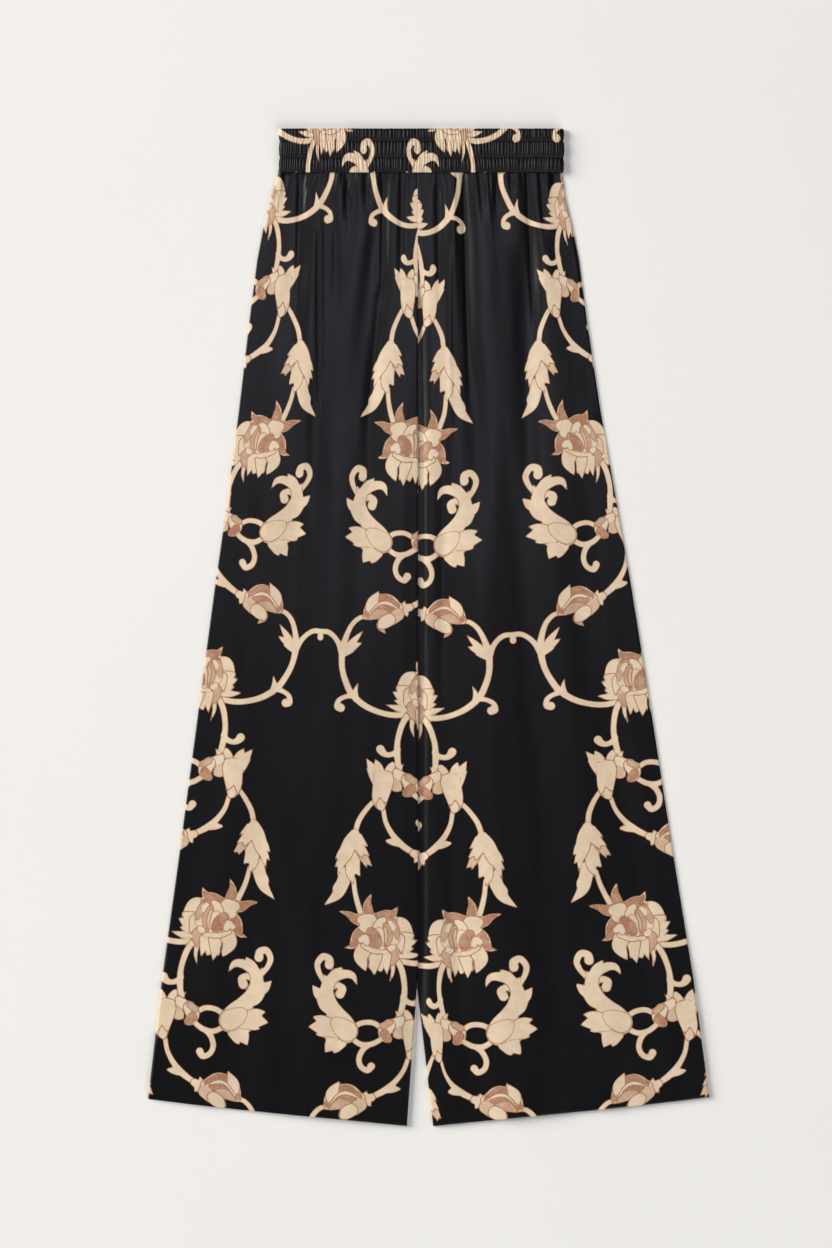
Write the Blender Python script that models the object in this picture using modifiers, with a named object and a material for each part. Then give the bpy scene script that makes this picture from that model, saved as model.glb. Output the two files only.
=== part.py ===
"""Palazzo pants laid flat: wide silk trousers with a ruched elastic waistband.

Frame: metres, +Z up. The trousers lie on z = 0 with the waist towards +Y and the hems
towards -Y. The origin is the middle of their bounding box, at the surface they lie on.
Left and right are the viewer's, looking down at the front.
"""
import math

import bmesh
import bpy

# Driving dimensions
LENGTH = 1.060              # top of the waistband to the lowest hem corner
TOP_Y = LENGTH / 2          # the waistband's top edge
BAND_HEIGHT = 0.0468        # three elastic channels
CROTCH_DOWN = 0.325         # waist to crotch, front rise
SPLIT_DOWN = 0.912          # waist to the place where the inner legs part
CENTRE_X = -0.0125          # centre front and centre back seams
WALL = 0.0010               # the cloth of a panel
SEAM_GAP = 0.0003           # between neighbouring pieces
LAYER = WALL + SEAM_GAP     # from one layer of cloth to the next
HEM_DEPTH = 0.065           # turned-up hem
HEM_SAG = 0.0020            # the hem line's curve below a straight line
HEM_INSET = 0.0015          # a hem lies this far inside its panel's side edges
HEM_RISE = 0.030            # the front climbs onto the turned-up hems over this length

# Waistband
BAND_LEFT_X = -0.1585
BAND_RIGHT_X = 0.1430
BAND_WALL = 0.0024          # two layers of cloth with the elastic between them
BAND_THICK = 0.0066         # front and back of the band together, lying flat
RUCHE_COUNT = 40            # gathers across the front of the band
RUCHE_DEPTH = 0.0005
CHANNEL_BULGE = 0.0010      # each channel swells by this between its rows of stitching
CHANNEL_EDGES = (0.0, 0.28, 0.66, 1.0)   # rows of stitching, as shares of the band's height

# Front panels
LOFT_WAIST = 0.0022         # height of the front cloth over the back cloth, below the band
LOFT_LEG = 0.0012
GATHER_DEPTH = 0.0007       # small gathers under the band, one to every two columns
GATHER_LENGTH = 0.040       # the distance over which they fade
EDGE_ROLL = 0.016           # the front rolls down to the back over this width at a folded edge
FRONT_COLUMNS = 26
FRONT_ROWS = 22             # from the waistband to the hem's stitching
BACK_COLUMNS = 6
BACK_ROWS = 11
HEM_ROWS = 2                # from the hem's stitching to the hem
ROW_CROWDING = 1.4          # rows crowd towards the gathered waist

# Side edges: distance below the waist, x of the left leg's side, x of the right leg's side
SIDE_ROWS = (
    # down,   left_x,  right_x
    (0.0468, -0.1598, 0.1416),
    (0.0734, -0.1688, 0.1450),
    (0.1074, -0.1763, 0.1535),
    (0.1393, -0.1824, 0.1598),
    (0.2031, -0.1906, 0.1680),
    (0.2988, -0.2018, 0.1824),
    (0.3945, -0.2140, 0.1992),
    (0.4902, -0.2278, 0.2158),
    (0.6178, -0.2448, 0.2362),
    (0.7773, -0.2660, 0.2608),
    (0.9047, -0.2838, 0.2816),
    (1.0310, -0.2985, 0.2985),
)

# Hem corners of each leg: x of the inner corner, distance of the outer corner below the waist
HEM_CORNERS = {
    "left": {"inner_x": -0.0232, "outer_down": 1.0310},
    "right": {"inner_x": 0.0045, "outer_down": 1.0290},
}

# Folds of each front. across: share of the width from the side seam to the centre seam, at the
# waist and at the fold's end. width: half-width in metres, at the waist and at the end.
# height: metres, a trough is negative. start and end: distances below the waistband.
FOLDS = {
    "left": (
        # across_top, across_end, width_top, width_end, height, start, end
        (0.04, 0.08, 0.0060, 0.0090, 0.0016, 0.00, 0.05),
        (0.20, 0.22, 0.0050, 0.0080, -0.0014, 0.00, 0.08),
        (0.33, 0.42, 0.0060, 0.0120, 0.0018, 0.00, 0.42),
        (0.48, 0.50, 0.0070, 0.0100, 0.0013, 0.00, 0.12),
        (0.76, 0.62, 0.0060, 0.0200, -0.0021, 0.01, 0.34),
        (0.66, 0.55, 0.0080, 0.0200, 0.0015, 0.01, 0.30),
        (0.87, 0.88, 0.0050, 0.0080, 0.0014, 0.00, 0.16),
    ),
    "right": (
        (0.78, 0.72, 0.0050, 0.0120, 0.0016, 0.00, 0.38),
        (0.69, 0.76, 0.0055, 0.0110, -0.0022, 0.00, 0.30),
        (0.57, 0.60, 0.0100, 0.0240, 0.0016, 0.00, 0.40),
        (0.44, 0.46, 0.0050, 0.0080, -0.0010, 0.00, 0.08),
        (0.27, 0.36, 0.0055, 0.0110, -0.0020, 0.00, 0.28),
        (0.18, 0.26, 0.0060, 0.0140, 0.0014, 0.00, 0.22),
        (0.07, 0.10, 0.0050, 0.0090, -0.0010, 0.00, 0.06),
    ),
}

CHARCOAL = (0.010, 0.010, 0.012)
INK = (0.006, 0.006, 0.007)


def smooth_step(value):
    """Ease from 0 to 1 as value goes from 0 to 1."""
    value = min(max(value, 0.0), 1.0)
    return value * value * (3.0 - 2.0 * value)


def blend(start, end, share):
    """Value at a share of the way from start to end."""
    return start + (end - start) * share


def side_x(leg, down):
    """X of a leg's side seam at a distance below the waist."""
    column = 1 if leg == "left" else 2
    for upper, lower in zip(SIDE_ROWS, SIDE_ROWS[1:]):
        if down <= lower[0]:
            break
    share = (down - upper[0]) / (lower[0] - upper[0])
    return blend(upper[column], lower[column], share)


def inner_x(leg, down):
    """X of a leg's inner edge: the centre seam, then the inseam."""
    away = SEAM_GAP / 2 if leg == "right" else -SEAM_GAP / 2
    seam = CENTRE_X + away
    parted = (down - SPLIT_DOWN) / (LENGTH - SPLIT_DOWN)
    if parted <= 0.0:
        return seam
    return blend(seam, HEM_CORNERS[leg]["inner_x"], parted)


def hem_down(leg, across):
    """Distance of the hem below the waist, from the side seam (0) to the inseam (1)."""
    straight = blend(HEM_CORNERS[leg]["outer_down"], LENGTH, across)
    return straight + HEM_SAG * 4.0 * across * (1.0 - across) * (1.0 - across)


def row_down(leg, across, row, body_rows):
    """Distance below the waist of a row: body rows to the hem's stitching, then the hem's rows."""
    hem_top = hem_down(leg, across) - HEM_DEPTH
    if row > body_rows:
        return hem_top + HEM_DEPTH * (row - body_rows) / HEM_ROWS
    return blend(BAND_HEIGHT + SEAM_GAP, hem_top, (row / body_rows) ** ROW_CROWDING)


def across_x(leg, across, down, inset=0.0):
    """X at a share of the way from the side seam to the centre seam or inseam."""
    direction = 1.0 if leg == "left" else -1.0
    outer = side_x(leg, down) + inset * direction
    inner = inner_x(leg, down) - inset * direction
    return blend(outer, inner, across)


def fold_height(fold, across, down, width_here):
    """One fold: a soft ridge or trough that widens and fades as it runs down."""
    across_top, across_end, width_top, width_end, height, start, end = fold
    run = down - BAND_HEIGHT
    share = (run - start) / (end - start)
    if share >= 1.0 or run < 0.0:
        return 0.0
    share = max(share, 0.0)
    centre = blend(across_top, across_end, share)
    width = blend(width_top, width_end, share)
    offset = (across - centre) * width_here / width
    rise = 0.45 + 0.55 * smooth_step(share / 0.25)
    fade = 1.0 - smooth_step((share - 0.35) / 0.65)
    return height * rise * fade * math.exp(-offset * offset)


def gather_height(across, down):
    """Small gathers where the panel is sewn to the band, fading away from it."""
    wave = math.cos(math.pi * across * FRONT_COLUMNS)
    return GATHER_DEPTH * wave * math.exp(-(down - BAND_HEIGHT) / GATHER_LENGTH)


def front_height(leg, across, down):
    """Height of the under side of the front panel above z = 0."""
    width_here = abs(inner_x(leg, down) - side_x(leg, down))
    from_side = across * width_here
    from_inner = (1.0 - across) * width_here
    loft = blend(LOFT_WAIST, LOFT_LEG, smooth_step((down - BAND_HEIGHT) / 0.45))
    side_roll = smooth_step(from_side / EDGE_ROLL)
    inner_roll = smooth_step(from_inner / EDGE_ROLL)
    below_crotch = smooth_step((down - CROTCH_DOWN + 0.12) / 0.12)
    inner_roll = blend(blend(0.7, 1.0, inner_roll), inner_roll, below_crotch)
    folds = sum(fold_height(fold, across, down, width_here) for fold in FOLDS[leg])
    folds += gather_height(across, down)
    above_back = max((loft + folds) * side_roll * inner_roll, 0.0)
    hem_top = hem_down(leg, across) - HEM_DEPTH
    over_hems = 2.0 * LAYER * smooth_step((down - hem_top + HEM_RISE + 0.005) / HEM_RISE)
    return LAYER + above_back + over_hems


def grid_object(name, columns, rows, place, closed=False):
    """A named sheet: a grid whose corner (column, row) moves to place(column, row)."""
    mesh = bpy.data.meshes.new(name)
    shape = bmesh.new()
    bmesh.ops.create_grid(shape, x_segments=columns, y_segments=rows, size=1.0)
    for corner in shape.verts:
        column = round((corner.co.x + 1.0) / 2.0 * columns)
        row = round((corner.co.y + 1.0) / 2.0 * rows)
        corner.co = place(column, row)
    if closed:
        bmesh.ops.remove_doubles(shape, verts=shape.verts, dist=0.00005)
    shape.to_mesh(mesh)
    shape.free()
    mesh.shade_smooth()
    return bpy.data.objects.new(name, mesh)


def add_wall(piece, thickness, offset):
    """Give an open sheet its thickness; offset 1 grows it along the normals."""
    wall = piece.modifiers.new("Wall", "SOLIDIFY")
    wall.thickness = thickness
    wall.offset = offset
    wall.use_rim = True
    return wall


def cloth_material(name, colour, roughness):
    material = bpy.data.materials.new(name)
    material.use_nodes = True
    shader = material.node_tree.nodes["Principled BSDF"]
    shader.inputs["Base Color"].default_value = (*colour, 1.0)
    shader.inputs["Roughness"].default_value = roughness
    shader.inputs["Metallic"].default_value = 0.0
    material.diffuse_color = (*colour, 1.0)
    return material


def finish_piece(piece, collection, colour=CHARCOAL, roughness=0.42):
    piece.data.materials.append(cloth_material(piece.name, colour, roughness))
    collection.objects.link(piece)
    return piece


def make_panel(name, leg, columns, rows, height, inset=0.0):
    """One sheet of a leg. rows: (first row, last row, body rows); height(across, down) is its z."""
    first_row, last_row, body_rows = rows
    row_count = last_row - first_row

    def place(column, row):
        across = column / columns if leg == "left" else 1.0 - column / columns
        down = row_down(leg, across, last_row - row, body_rows)
        return across_x(leg, across, down, inset), TOP_Y - down, height(across, down)

    piece = grid_object(name, columns, row_count, place)
    add_wall(piece, WALL, 1.0)
    return piece


def make_back(leg, collection):
    """A back panel: flat on the surface that the trousers lie on."""
    rows = (0, BACK_ROWS + HEM_ROWS, BACK_ROWS)
    piece = make_panel(f"back_{leg}", leg, BACK_COLUMNS, rows, lambda across, down: 0.0)
    return finish_piece(piece, collection)


def make_front(leg, collection):
    """A front panel: lies on the back, gathered at the waist, with its folds."""
    def height(across, down):
        return front_height(leg, across, down)

    rows = (0, FRONT_ROWS + HEM_ROWS, FRONT_ROWS)
    piece = make_panel(f"front_{leg}", leg, FRONT_COLUMNS, rows, height)
    return finish_piece(piece, collection)


def make_back_hem(leg, collection):
    """The back's turned-up hem, flat on the back panel."""
    rows = (BACK_ROWS, BACK_ROWS + HEM_ROWS, BACK_ROWS)
    piece = make_panel(f"hem_back_{leg}", leg, BACK_COLUMNS, rows, lambda across, down: LAYER, HEM_INSET)
    return finish_piece(piece, collection, INK, 0.5)


def make_front_hem(leg, collection):
    """The front's turned-up hem: the front panel's own points, one layer lower."""
    def height(across, down):
        return front_height(leg, across, down) - LAYER

    rows = (FRONT_ROWS, FRONT_ROWS + HEM_ROWS, FRONT_ROWS)
    piece = make_panel(f"hem_front_{leg}", leg, FRONT_COLUMNS, rows, height, HEM_INSET)
    return finish_piece(piece, collection, INK, 0.5)


def channel_swell(share):
    """Swell of the band above its stitching, at a share of its height from the top."""
    for upper, lower in zip(CHANNEL_EDGES, CHANNEL_EDGES[1:]):
        if share <= lower:
            place = (share - upper) / (lower - upper)
            return CHANNEL_BULGE * math.sin(math.pi * place)
    return 0.0


def band_rows():
    """Shares of the band's height: each row of stitching and the middle of each channel."""
    shares = []
    for upper, lower in zip(CHANNEL_EDGES, CHANNEL_EDGES[1:]):
        shares += [upper, (upper + lower) / 2]
    shares.append(CHANNEL_EDGES[-1])
    return shares


def band_loop():
    """Outline of the flattened ring seen from its top edge: x, height share, ruche phase."""
    radius = BAND_THICK / 2
    left = BAND_LEFT_X + radius
    right = BAND_RIGHT_X - radius
    under_count = 10
    end_count = 4
    over_count = RUCHE_COUNT * 2
    loop = []
    for step in range(under_count):
        loop.append((blend(left, right, step / under_count), 0.0, 0.0))
    for step in range(end_count):
        angle = math.pi * step / end_count
        loop.append((right + radius * math.sin(angle), 0.5 - 0.5 * math.cos(angle), 0.0))
    for step in range(over_count):
        phase = math.cos(math.pi * step)
        loop.append((blend(right, left, step / over_count), 1.0, phase))
    for step in range(end_count):
        angle = math.pi * step / end_count
        loop.append((left - radius * math.sin(angle), 0.5 + 0.5 * math.cos(angle), 0.0))
    return loop


def make_waistband(collection):
    """The elastic casing: a ring lying flat, its front ruched, its back flat underneath."""
    loop = band_loop()
    shares = band_rows()
    rows = len(shares) - 1

    def place(column, row):
        x, over, phase = loop[column % len(loop)]
        share = shares[row]
        lift = over * (channel_swell(share) + RUCHE_DEPTH * phase)
        return x, TOP_Y - share * BAND_HEIGHT, over * BAND_THICK + lift

    piece = grid_object("waistband", len(loop), rows, place, closed=True)
    add_wall(piece, BAND_WALL, -1.0)
    return finish_piece(piece, collection, CHARCOAL, 0.5)


def clear_scene():
    for item in list(bpy.data.objects):
        bpy.data.objects.remove(item, do_unlink=True)


def main():
    clear_scene()
    trousers = bpy.data.collections.new("palazzo_pants")
    bpy.context.scene.collection.children.link(trousers)
    for leg in ("left", "right"):
        make_back(leg, trousers)
        make_back_hem(leg, trousers)
        make_front_hem(leg, trousers)
        make_front(leg, trousers)
    make_waistband(trousers)


main()
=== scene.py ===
"""Palazzo pants laid flat: the looks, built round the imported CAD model.

Frame: metres, +Z up, the trousers lying on z = 0 with the waist towards +Y. Left and right are
the viewer's, looking down at the front. Each cut piece is one sheet, on the form of its CAD
solid. The print is drawn from strokes, as signed distances kept on the sheets' points, and the
silk's shader turns them into colours with sharp edges.
"""
import math

import bpy
import numpy as np
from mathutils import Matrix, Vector


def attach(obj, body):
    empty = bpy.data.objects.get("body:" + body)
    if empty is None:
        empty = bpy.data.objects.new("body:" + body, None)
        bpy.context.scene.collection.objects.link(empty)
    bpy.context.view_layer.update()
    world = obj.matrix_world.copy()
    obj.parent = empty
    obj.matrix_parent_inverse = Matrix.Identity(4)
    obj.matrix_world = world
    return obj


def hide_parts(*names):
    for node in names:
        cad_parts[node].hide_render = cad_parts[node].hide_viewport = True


MILLIMETRE = 0.001

# ------------------------------------------------------------------ sizes shared with the CAD
LENGTH = 1.060              # top of the waistband to the lowest hem corner
TOP_Y = LENGTH / 2
BAND_HEIGHT = 0.0468
CROTCH_DOWN = 0.325         # waist to crotch
SPLIT_DOWN = 0.912          # waist to the place where the inner legs part
CENTRE_X = -0.0125          # centre front and centre back seams
WALL = 0.0010
SEAM_GAP = 0.0003
LAYER = WALL + SEAM_GAP
HEM_DEPTH = 0.065
HEM_SAG = 0.0020
HEM_INSET = 0.0015
BAND_LEFT_X = -0.1585
BAND_RIGHT_X = 0.1430
BAND_WALL = 0.0024
BAND_THICK = 0.0066
CHANNEL_BULGE = 0.0010
CHANNEL_EDGES = (0.0, 0.28, 0.66, 1.0)
LOFT_WAIST = 0.0022
LOFT_LEG = 0.0012
EDGE_ROLL = 0.016

# Side edges: distance below the waist, x of the left leg's side, x of the right leg's side
SIDE_ROWS = np.array((
    (0.0468, -0.1598, 0.1416),
    (0.0734, -0.1688, 0.1450),
    (0.1074, -0.1763, 0.1535),
    (0.1393, -0.1824, 0.1598),
    (0.2031, -0.1906, 0.1680),
    (0.2988, -0.2018, 0.1824),
    (0.3945, -0.2140, 0.1992),
    (0.4902, -0.2278, 0.2158),
    (0.6178, -0.2448, 0.2362),
    (0.7773, -0.2660, 0.2608),
    (0.9047, -0.2838, 0.2816),
    (1.0310, -0.2985, 0.2985),
))
HEM_CORNERS = {
    "left": {"inner_x": -0.0232, "outer_down": 1.0310},
    "right": {"inner_x": 0.0045, "outer_down": 1.0290},
}

# The CAD's folds. across: share of the width from the side seam to the centre seam
FOLDS = {
    "left": (
        # across_top, across_end, width_top, width_end, height, start, end
        (0.04, 0.08, 0.0060, 0.0090, 0.0016, 0.00, 0.05),
        (0.20, 0.22, 0.0050, 0.0080, -0.0014, 0.00, 0.08),
        (0.33, 0.42, 0.0060, 0.0120, 0.0018, 0.00, 0.42),
        (0.48, 0.50, 0.0070, 0.0100, 0.0013, 0.00, 0.12),
        (0.76, 0.62, 0.0060, 0.0200, -0.0021, 0.01, 0.34),
        (0.66, 0.55, 0.0080, 0.0200, 0.0015, 0.01, 0.30),
        (0.87, 0.88, 0.0050, 0.0080, 0.0014, 0.00, 0.16),
    ),
    "right": (
        (0.78, 0.72, 0.0050, 0.0120, 0.0016, 0.00, 0.38),
        (0.69, 0.76, 0.0055, 0.0110, -0.0022, 0.00, 0.30),
        (0.57, 0.60, 0.0100, 0.0240, 0.0016, 0.00, 0.40),
        (0.44, 0.46, 0.0050, 0.0080, -0.0010, 0.00, 0.08),
        (0.27, 0.36, 0.0055, 0.0110, -0.0020, 0.00, 0.28),
        (0.18, 0.26, 0.0060, 0.0140, 0.0014, 0.00, 0.22),
        (0.07, 0.10, 0.0050, 0.0090, -0.0010, 0.00, 0.06),
    ),
}

# ------------------------------------------------------------------ fine form of the cloth
FRONT_COLUMNS = 150         # between the crowded columns at the two edges
FRONT_ROWS = 590
BACK_COLUMNS = 100
BACK_ROWS = 400
HEM_PIECE_COLUMNS = 80
HEM_PIECE_ROWS = 24
EDGE_COLUMNS = 7            # columns that make the turn of a folded edge
SIDE_TURN = 0.0022          # width of the turn at a side seam or inseam
SEAM_TURN = 0.0015          # and at the centre seam
HEM_TURN = 0.0012           # and at a hem
SIDE_MEET = 0.0011          # height at which front and back meet at a side seam
SIDE_DOME = 0.050           # how far in from a side seam the front is still rising
FOLD_SHARE = 0.6            # of the CAD's folds; the finer creases make up the rest
FRONT_LOWEST = 0.0009       # a front's outer face never comes nearer the floor than this
HEM_EASE = 0.140            # the front rises gently over the hem's folded cloth from this far above
INSEAM_EASE = 0.070         # above the place where the legs part, the seam's groove opens out
CENTRE_LAP = 0.0012         # the left front laps this far over the right at the centre seam
LAP_FADE = 0.030            # and ceases to over this length, above the same place
CENTRE_DROP = {"left": 0.0006, "right": 0.0014}     # and each one's edge dips this far
MOUTH = (0.100, 0.185)      # the pocket mouth in the right side seam: where it starts and ends
MOUTH_INSET = 0.0018        # there the back shows this far beyond the front
SEAM_EASE = 0.012           # a lap or a mouth eases into the cloth beside it over this width
LOFT_FADE = 0.45            # over this length the loft goes from the waist's to the leg's
SEAM_HOLD = 0.7             # share of its loft that the front keeps at the centre seam
CROTCH_EASE = 0.12          # down to the crotch, the centre seam turns into a folded edge
GATHER_PITCH = 0.046        # pleats under the band, as a share of the panel's width
GATHER_DEPTH = 0.0009
GATHER_FADE = 0.018
GATHER_SEEDS = {"front_left": 11, "front_right": 12, "back_left": 31, "back_right": 32}
FADE_SEED = 21              # for how unevenly the gathers fade
PUCKER_PITCH = 0.0058       # along the hem's stitching
PUCKER_DEPTH = 0.00030
PUCKER_LENGTH = 0.003
BACK_GATHER_DEPTH = 0.0006
BACK_LIFT = 0.0001          # the backs lie this far above the floor
HEM_TUCK = 0.0004           # a hem's fold lies this far inside the leg's opening

# Main creases of each front, in millimetres: x and distance below the waist where it starts and
# ends, half-widths on its left and right, height (a trough is negative), and how far it takes to
# rise and to fade
CREASES = {
    "left": (
        # x_start, x_end, start, end, left, right, height, rise, fade
        (-156, -160, 40, 85, 5, 2, 1.2, 1, 30),
        (-153, -156, 40, 90, 1.6, 4, -1.2, 1, 40),
        (-136.9, -141, 40, 250, 2.8, 10, -1.1, 1, 150),
        (-142, -150, 110, 300, 10, 10, -1.4, 50, 120),
        (-130, -129, 40, 120, 3, 4, 0.9, 1, 60),
        (-118, -116.5, 95, 370, 2, 1.6, -0.5, 20, 120),
        (-114.5, -113, 95, 360, 2, 2, 0.4, 20, 120),
        (-123, -119, 240, 460, 9, 11, -1.4, 60, 80),
        (-99, -98.5, 85, 215, 4, 4.4, -0.9, 30, 90),
        (-96, -96.5, 40, 90, 3.4, 4, 0.9, 1, 40),
        (-88, -86, 40, 110, 3, 3.6, -1.2, 1, 50),
        (-66.8, -65, 40, 105, 3, 3.4, -1, 1, 50),
        (-74, -74, 40, 110, 4, 3.6, 0.8, 1, 60),
        (-48, -50, 40, 200, 2.6, 11, -1.3, 20, 70),
        (-48.5, -70, 150, 370, 5.6, 7, -1.6, 30, 120),
        (-58, -64, 200, 450, 9, 15, -1.2, 80, 100),
        (-41, -41, 40, 190, 3.4, 3.6, 0.8, 10, 80),
        (-29, -31, 40, 200, 3.4, 4, -1.3, 1, 90),
        (-137, -140, 360, 560, 10, 11, -1.2, 60, 80),
        (-185, -185, 380, 520, 10, 10, -0.7, 50, 60),
        (-72, -96, 360, 1100, 60, 38, 3.2, 220, 1),
        (-15, -15, 120, 930, 11, 5, 1.2, 100, 40),
    ),
    "right": (
        (9.5, 12, 50, 220, 3.6, 3.4, -1.1, 20, 90),
        (16, 15, 300, 640, 6, 7, -1, 60, 150),
        (21.5, 24, 105, 470, 3, 2.8, 0.7, 40, 250),
        (36, 43, 40, 310, 2.4, 9.5, -2, 1, 110),
        (45, 56, 200, 520, 12, 12, -1.7, 80, 150),
        (27, 28, 40, 160, 4, 3, 0.9, 1, 60),
        (54, 59, 40, 115, 3, 3.4, -1.1, 1, 60),
        (74, 69, 40, 110, 3.2, 3, -1.1, 1, 60),
        (86.3, 88, 40, 80, 2.8, 2.8, -1, 1, 30),
        (103.5, 115, 40, 260, 2.8, 8.5, -1.6, 1, 120),
        (98, 111, 100, 470, 11, 11, -1.8, 60, 150),
        (118, 124, 40, 130, 3, 3, -1, 1, 60),
        (125, 129, 40, 120, 3.6, 3.6, 0.9, 1, 60),
        (132, 132.5, 40, 64, 2, 3, -1.4, 1, 16),
        (183, 188, 280, 370, 6, 6, -0.7, 40, 50),
        (-9.8, -9.8, 120, 960, 6, 7, -2.4, 80, 30),
        (50, 102, 300, 1100, 30, 48, 2.6, 220, 1),
        (140, 245, 420, 870, 30, 18, -1.3, 100, 100),
        (170, 248, 440, 840, 16, 10, 0.7, 80, 100),
        (15, 43, 720, 1000, 6, 8, -1.2, 80, 100),
    ),
}

WAVE_START = 0.25           # distance below the waist where the legs' broad waves start
WAVE_EASE = 0.20            # and how far they take to rise
# Broad waves of the lower legs: share of the width, how far it drifts, half-width, height
WAVES = {
    "left": ((0.17, 0.04, 0.016, 0.0011), (0.36, -0.03, 0.014, -0.0010), (0.56, 0.02, 0.018, 0.0012),
             (0.72, -0.02, 0.012, -0.0009), (0.90, 0.02, 0.012, 0.0008)),
    "right": ((0.13, 0.04, 0.014, -0.0010), (0.33, 0.02, 0.018, 0.0012), (0.52, -0.03, 0.014, -0.0011),
              (0.70, 0.02, 0.016, 0.0012), (0.88, -0.02, 0.012, -0.0008)),
}

# Waistband
BAND_COLUMNS = 880          # across the front
BAND_UNDER_COLUMNS = 120
BAND_END_COLUMNS = 14
BAND_ROWS = 60
BAND_INNER_ROWS = 8
BAND_TURN_STEPS = 6         # round the top and bottom edges
PLEAT_PITCH = 0.0034
PLEAT_DEPTH = 0.00160
PLEAT_SHARPNESS = 0.45      # below 1: round pleats with narrow creases between them
STITCH_DIP = 0.0007         # the rows of stitching pull the cloth down
STITCH_HALF = 0.0009        # half-width of that dip
PLEAT_SEED = 51             # and one more for each channel below
PLEAT_LEAN = 0.0012         # pleats lean sideways by up to this over a channel
LEAN_LENGTH = 0.021         # one way and then the other
UNDER_RUCHE = 0.15          # share of the ruching left on the side that lies on the floor
BAND_EDGE_WAVE = 0.0005     # the top edge rises over the pleats

# ------------------------------------------------------------------ the print
# The print repeats by mirror and by half-drop. Its own units are about a millimetre: u runs
# across from a mirror line, v down. A motif is a list of shapes, painted from first to last; a
# shape is (colour, strokes), and a stroke is a list of (x, y, half_width) along a smooth line.
# "plain" is cream with no outline.
PRINT_SCALE = 1.0632e-3     # metres per unit of the print
REPEAT_U = 206.6            # from one mirror line to the next
REPEAT_V = 490.0            # one whole repeat down the cloth
TINTS = ("tan", "mauve", "rust", "light")   # the colours besides cream
LINE_SETS = 3               # neighbouring shapes draw their outlines in different sets
REACH = 4.0                 # distances are kept this far from a stroke
FAR = 50.0                  # the distance given to points beyond that
MARGIN = 20.0               # strokes this far outside the repeat can't reach it

THISTLE = [
    ("cream", [[(-8, -9, 4.5), (-13, -17, 5.0), (-20.5, -27.5, 0.4)],
               [(-5, -12, 5), (-8, -20, 4.4), (-11.5, -27.5, 0.4)],
               [(-8, -4, 4.5), (-13, -11, 3.6), (-19.5, -18, 0.4)]]),
    ("cream", [[(2, -12, 5), (4, -19, 4.6), (6, -24, 2.6)], [(12, -19, 3), (17, -24.5, 0.5)]]),
    ("tan", [[(7, -8, 6), (11, -3, 6), (15.5, 0, 2.0)]]),
    ("cream", [[(-8, -12, 4), (3, -12, 4.5)],
               [(-1.5, -7, 10.2), (-2.6, 1, 9.6), (-3.6, 9, 8.3), (-3, 16, 6), (-1, 21, 2.2)]]),
    ("cream", [[(-3.8, 10, 0.3), (-3.4, 14, 2.4), (-2.6, 18, 4.2), (-1, 21, 2.2)],
               [(-7, 16, 0.6), (-3, 19, 3)], [(2, 14.6, 0.5), (-0.5, 19, 2.6)]]),
    ("light", [[(10, -17, 3.2), (19, -13, 3.6)], [(10.5, -14, 3.4), (16.5, -10.5, 3.2)]]),
    ("cream", [[(22, -10, 6.2), (26, -3, 6.8), (23.5, 3, 4.6)]]),
    ("mauve", [[(22, -12.5, 3), (28, -9, 3.4)]]),
    ("rust", [[(21.5, 4, 3.6), (26, -1, 4.4)]]),
]

LINK = [
    ("cream", [[(28, -5, 2.6), (38, -11, 2.8), (50, -10, 2.8), (59, -4, 2.8)]]),
    ("cream", [[(28, 4, 2.6), (38, 10, 2.9), (49, 11, 2.9), (60, 5, 2.8)],
               [(39, 10, 2.6), (46, 16, 3.0), (49.5, 25, 3.0), (47, 33, 3.0), (40, 36.5, 3.0),
                (36.5, 32, 4.0)]]),
]

LEAF_SCROLL = [
    ("cream", [[(-29, -47.9, 2.4), (-35, -56.9, 3.0), (-37, -65, 3.4), (-32, -72.2, 3.6),
                (-25, -70.4, 4.0), (-24.5, -65, 5.0)]]),
    ("cream", [[(-3, 7, 6), (-13, 11, 8), (-21, 22, 0.4)],
               [(-8, 6, 5), (-16, 6, 5), (-25, 6, 0.5)],
               [(-4, 11, 5), (-9, 17, 4), (-12, 22, 0.4)]]),
    ("cream", [[(-20, -31.7, 2.4), (-21, -39.8, 2.6), (-15, -45.2, 3.2), (-8.5, -42.5, 4.0),
                (-10.5, -37.1, 5.0)]]),
    ("cream", [[(1, -1, 10.5), (-5, -7, 11.5), (-13, -16, 9.5), (-20, -27.2, 7), (-25, -39.8, 7.2),
                (-20, -51.5, 5.8), (-8, -56.9, 4.6), (1, -56, 3.4), (6, -47.9, 0.5)],
               [(-24, -47, 5), (-18, -56, 4.6), (-11, -63.2, 0.9)],
               [(-26, -45.2, 4), (-29, -54.2, 1.0)],
               [(-25, -31.7, 6), (-33, -35.3, 5.4), (-40, -42.5, 0.8)],
               [(-17, -20.9, 6.5), (-26, -23.6, 5), (-34, -29, 0.8)]]),
    ("cream", [[(1, 3, 8), (-10, -1, 8), (-24, -3, 8.5), (-41, -2, 0.4)],
               [(-16, -6, 5), (-27, -10, 4.6), (-37, -12, 0.6)],
               [(-20, 1, 5), (-26, 3, 4), (-32, 5, 0.5)]]),
    ("plain", [[(0, -1, 10.3), (-6, -4, 9.4), (-12, -8, 6)]]),
]

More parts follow.
